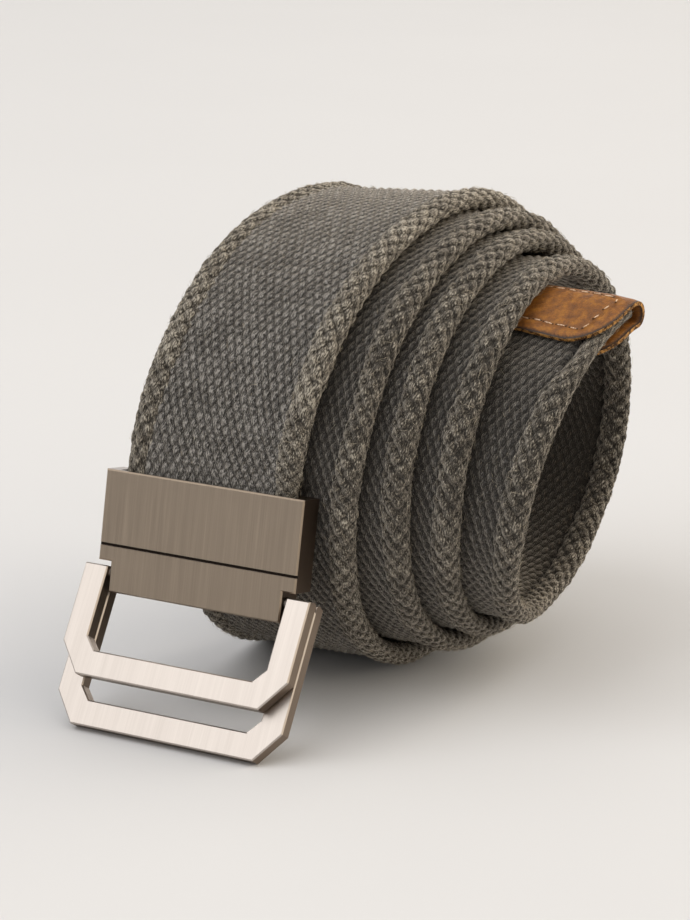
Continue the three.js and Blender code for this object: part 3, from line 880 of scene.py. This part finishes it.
def tanned_hide():
    """Vegetable-tanned cowhide, dyed and waxed: mottled warm brown, inked dark along its edge."""
    material, tree, shader = new_material("veg_tan_cowhide", IOR=1.5, Specular_IOR_Level=0.45)
    uv = add_node(tree, "UVMap", uv_map="grain").outputs[0]
    edges = add_node(tree, "UVMap", uv_map="edges").outputs[0]
    to_edge, to_seam = add_node(tree, "SeparateXYZ", edges).outputs[:2]
    # Dye taken up in clouds of about 2 mm
    cloud = add_node(tree, "TexNoise", uv, 0.5, 5.0, 0.66, noise_dimensions="2D").outputs[0]
    ramp = add_node(tree, "ValToRGB", cloud)
    set_stops(ramp, (0.3, "#6a3f15"), (0.5, "#87531b"), (0.7, "#a36b24"))
    # Hair pores and grain cells of about 0.35 mm, and wrinkles of about 0.45 mm
    cells = add_node(tree, "TexVoronoi", uv, 2.9, voronoi_dimensions="2D").outputs[0]
    fine = add_node(tree, "TexNoise", uv, 2.2, 3.0, 0.65, noise_dimensions="2D").outputs[0]
    speck = add_node(tree, "MapRange", fine, 0.35, 0.65, 0.84, 1.1).outputs[0]
    speck = add_node(tree, "CombineXYZ", speck, speck, speck).outputs[0]
    toned = add_node(tree, "Mix", 1.0, ramp.outputs[0], speck, data_type="RGBA", blend_type="MULTIPLY")
    # Edge ink: a dark line just inside the cut edge, a little uneven
    ragged = weighted_sum(tree, to_edge, (fine, 0.5))
    ink = add_node(tree, "MapRange", ragged, 0.45, 1.05, 1.0, 0.0).outputs[0]
    inked = add_node(tree, "Mix", ink, toned.outputs["Result"], linear("#33241a"), data_type="RGBA")
    # The seam is pressed in, with painted shade along it
    seam = add_node(tree, "MapRange", to_seam, 0.1, 0.75, 1.0, 0.0).outputs[0]
    shade = add_node(tree, "Math", seam, 0.28, operation="MULTIPLY").outputs[0]
    seamed = add_node(tree, "Mix", shade, inked.outputs["Result"], linear("#5f3a17"), data_type="RGBA")
    tree.links.new(seamed.outputs["Result"], shader.inputs["Base Color"])
    gloss = add_node(tree, "MapRange", cloud, 0.3, 0.7, 0.42, 0.58).outputs[0]
    tree.links.new(gloss, shader.inputs["Roughness"])
    lift = weighted_sum(tree, 0.0, (cells, 0.07), (fine, 0.09), (seam, -0.2), (ink, -0.12))
    give_relief(tree, shader, lift, MM)
    return material


def raw_hide_edge():
    """The raw cut edge of the hide: fibrous and dry, with pale tufts among dark gaps."""
    material, tree, shader = new_material("raw_hide_edge", Roughness=0.85, IOR=1.5, Specular_IOR_Level=0.3)
    tufts = flecked_colour(tree, shader, 1.1 / MM, (0.44, "#3f240c"), (0.57, "#c8924e"), 5.0, 0.75)
    give_relief(tree, shader, tufts, 0.8 * MM)
    return material


def waxed_thread():
    """Waxed linen thread: pale, with the twist of its plies showing as fine flecks and a soft shine."""
    material, tree, shader = new_material(
        "waxed_linen_thread", Roughness=0.55, IOR=1.5, Specular_IOR_Level=0.5,
    )
    plies = flecked_colour(tree, shader, 4.2 / MM, (0.35, "#a27c57"), (0.6, "#ead2b8"), 2.0)
    give_relief(tree, shader, plies, 0.12 * MM, 0.8)
    return material


def pierced_hide():
    """Needle holes: pierced hide in shadow, dark and dull."""
    material, tree, shader = new_material("pierced_hide", Roughness=0.9, IOR=1.5)
    flecked_colour(tree, shader, 3 / MM, (0, "#24150a"), (1, "#5c3a1a"), 2.0)
    return material


def painted_groove_shade(tree, upright, plating):
    """The plating's colour, with painted shade in the groove across the block."""
    depth, height = add_node(tree, "SeparateXYZ", upright).outputs[1:]
    off = add_node(tree, "Math", height, GROOVE_DROP * MM, operation="ADD").outputs[0]
    off = add_node(tree, "Math", off, operation="ABSOLUTE").outputs[0]
    half_width = (GROOVE_WIDTH / 2 - GROOVE_SHADE_MARGIN) * MM
    near = add_node(tree, "Math", off, half_width, operation="LESS_THAN").outputs[0]
    deep = add_node(tree, "Math", depth, GROOVE_SHADE_DEPTHS[0] * MM, operation="GREATER_THAN").outputs[0]
    shallow = add_node(tree, "Math", depth, GROOVE_SHADE_DEPTHS[1] * MM, operation="LESS_THAN").outputs[0]
    mask = add_node(tree, "Math", near, deep, operation="MULTIPLY").outputs[0]
    mask = add_node(tree, "Math", mask, shallow, operation="MULTIPLY").outputs[0]
    return add_node(tree, "Mix", mask, plating, linear("#2a2420"), data_type="RGBA").outputs["Result"]


def brushed_nickel(name, dark, light, side, tilt, grooved):
    """Nickel-plated zinc casting: its face brushed in long upright strokes, its narrow sides painted dark
    as a painted reflection of dim surroundings.
    """
    material, tree, shader = new_material(name, Metallic=1.0)
    texture = add_node(tree, "TexCoord").outputs
    origin = tuple((Vector(CLASP_CORNER) - Vector(BOX_MIDDLE)) * MM)
    centred = add_node(tree, "VectorMath", texture["Object"], origin, operation="SUBTRACT").outputs[0]
    upright, turned = (
        add_node(tree, "VectorRotate", way, None, (1, 0, 0), tilt, rotation_type="AXIS_ANGLE").outputs[0]
        for way in (centred, texture["Normal"])
    )
    # Brush lines are about 0.05 mm; drawn 0.25 mm wide and 25 mm long, over broader faint strokes
    line_scale, stroke_scale = (4.2 / MM, 4.2 / MM, 0.04 / MM), (0.26 / MM, 0.26 / MM, 0.009 / MM)
    lines = add_node(tree, "Mapping", upright, (0, 0, 0), (0, 0, 0), line_scale).outputs[0]
    fine = add_node(tree, "TexNoise", lines, 1.0, 3.0, 0.6).outputs[0]
    strokes = add_node(tree, "Mapping", upright, (3, 0, 0), (0, 0, 0), stroke_scale).outputs[0]
    broad = add_node(tree, "TexNoise", strokes, 3.0, 2.0, 0.6).outputs[0]
    tone = weighted_sum(tree, fine, (broad, 0.7))
    tone = add_node(tree, "MapRange", tone, 0.5, 1.2).outputs[0]
    ramp = add_node(tree, "ValToRGB", tone)
    set_stops(ramp, (0, dark), (1, light))
    # The sides, ends and undersides are painted dark: a painted reflection of the dim surroundings they
    # face
    facing = add_node(tree, "VectorMath", turned, (0, -1, 0), operation="DOT_PRODUCT").outputs["Value"]
    side_reflection_mask = add_node(tree, "MapRange", facing, 0.2, 0.6, 1.0, 0.0).outputs[0]
    side_reflected = add_node(tree, "Mix", side_reflection_mask, ramp.outputs[0], linear(side), data_type="RGBA")
    colour = side_reflected.outputs["Result"]
    # Painted shade in the block's groove
    if grooved:
        colour = painted_groove_shade(tree, upright, colour)
    tree.links.new(colour, shader.inputs["Base Color"])
    satin = add_node(tree, "MapRange", fine, 0.3, 0.7, 0.31, 0.4).outputs[0]
    tree.links.new(satin, shader.inputs["Roughness"])
    give_relief(tree, shader, fine, 0.015 * MM, 0.35)
    return material


def finish_metal(node, material, edge_width):
    """Gives a CAD node its plating and breaks its sharp edges a little."""
    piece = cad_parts[node]
    piece.data.materials.clear()
    piece.data.materials.append(material)
    whole = piece.modifiers.new("whole", "WELD")
    whole.merge_threshold = 0.002 * MM
    flat = piece.modifiers.new("flat", "DECIMATE")
    flat.decimate_type = "DISSOLVE"
    flat.angle_limit = math.radians(0.5)
    edge = piece.modifiers.new("edge", "BEVEL")
    edge.width = edge_width * MM
    edge.segments = 2
    edge.limit_method = "ANGLE"
    edge.angle_limit = math.radians(28)
    edge.use_clamp_overlap = True
    edge.harden_normals = True


def lay_floor():
    """A plain pale floor of matt paper, so even that it hardly shows any grain."""
    bm = bmesh.new()
    bmesh.ops.create_grid(bm, x_segments=1, y_segments=1, size=FLOOR_HALF_SIDE)
    mesh = bpy.data.meshes.new("floor")
    bm.to_mesh(mesh)
    bm.free()
    material, tree, shader = new_material(
        "matt_paper_floor", Roughness=0.9, IOR=1.5, Specular_IOR_Level=0.15,
    )
    flecked_colour(tree, shader, 5.0, (0.3, "#d0d0d1"), (0.7, "#d2d2d3"), 3.0)
    mesh.materials.append(material)
    floor = add_object("floor", mesh)


def light_studio():
    """Soft lights: a broad one in front to the left, a warm one behind to the right and a weak warm fill,
    with a pale wall behind the belt and a glowing ceiling; the room in front of it is dim."""
    world = bpy.data.worlds.new("studio")
    bpy.context.scene.world = world
    world.use_nodes = True
    tree = world.node_tree
    ahead, up = add_node(tree, "SeparateXYZ", add_node(tree, "TexCoord").outputs["Generated"]).outputs[1:]
    soft = {"interpolation_type": "SMOOTHSTEP"}
    behind = add_node(tree, "MapRange", ahead, 0.0, 0.5, **soft).outputs[0]
    low = add_node(tree, "MapRange", up, 0.2, 0.5, 1.0, 0.0, **soft).outputs[0]
    wall = add_node(tree, "Math", behind, low, operation="MULTIPLY").outputs[0]
    above = add_node(tree, "MapRange", up, 0.6, 0.85, **soft).outputs[0]
    glow = weighted_sum(tree, ROOM_GLOW, (wall, WALL_GLOW), (above, CEILING_GLOW))
    background = tree.nodes["Background"]
    background.inputs["Color"].default_value = GLOW_COLOUR
    tree.links.new(glow, background.inputs["Strength"])
    for name, azimuth, elevation, width, power, colour in LAMPS:
        light = bpy.data.lights.new(name, "AREA")
        light.shape = "DISK"
        light.size = width
        light.energy = power
        light.color = colour
        add_aimed(name, light, direction(azimuth, elevation), LAMP_DISTANCE)
    bpy.context.scene.view_settings.view_transform = "Standard"


place_camera()
lay_floor()
light_studio()
path = strap_path()

web_yarn = marl_cotton(
    "marl_cotton_web", WEB_WEAVE,
    ((0, "#191819"), (0.3, "#323131"), (0.55, "#51504f"), (0.8, "#75726f"), (1, "#a09c97")),
    gap_shade=0.66, float_lift=0.32, sheen=1.0, inner_turn_shade=0.62,
)
ridge_yarn = marl_cotton(
    "marl_cotton_ridge", RIDGE_WEAVE,
    ((0, "#191715"), (0.28, "#332f2b"), (0.55, "#5b554c"), (0.8, "#857e72"), (1, "#b6afa1")),
    gap_shade=0.55, float_lift=0.4, sheen=0.8, inner_turn_shade=0.26,
)

web = build_web(path, web_yarn)
ridges = [build_ridge("ridge_right", 1, path, ridge_yarn), build_ridge("ridge_left", -1, path, ridge_yarn)]
fibres = build_fibres(path, cotton_fibre(), FIBRE_COUNT)
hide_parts("strap")

leather = build_leather(tanned_hide(), raw_hide_edge())
stitches = build_stitches(waxed_thread(), pierced_hide())
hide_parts("leather_tip")

# The third colour of each plating is the painted dark reflection on its narrow sides
block_plating = brushed_nickel(
    "brushed_dark_nickel", "#97897a", "#ae9e8c", "#5d4f43", tilt=-CLASP_LEAN, grooved=True,
)
ring_plating = brushed_nickel(
    "brushed_bright_nickel", "#b4aba3", "#c4bbb3", "#8a7a6b", tilt=RING_SWING - CLASP_LEAN, grooved=False,
)
finish_metal("clasp_block", block_plating, BLOCK_EDGE)
finish_metal("front_ring", ring_plating, RING_EDGE)
finish_metal("rear_ring", ring_plating, RING_EDGE)
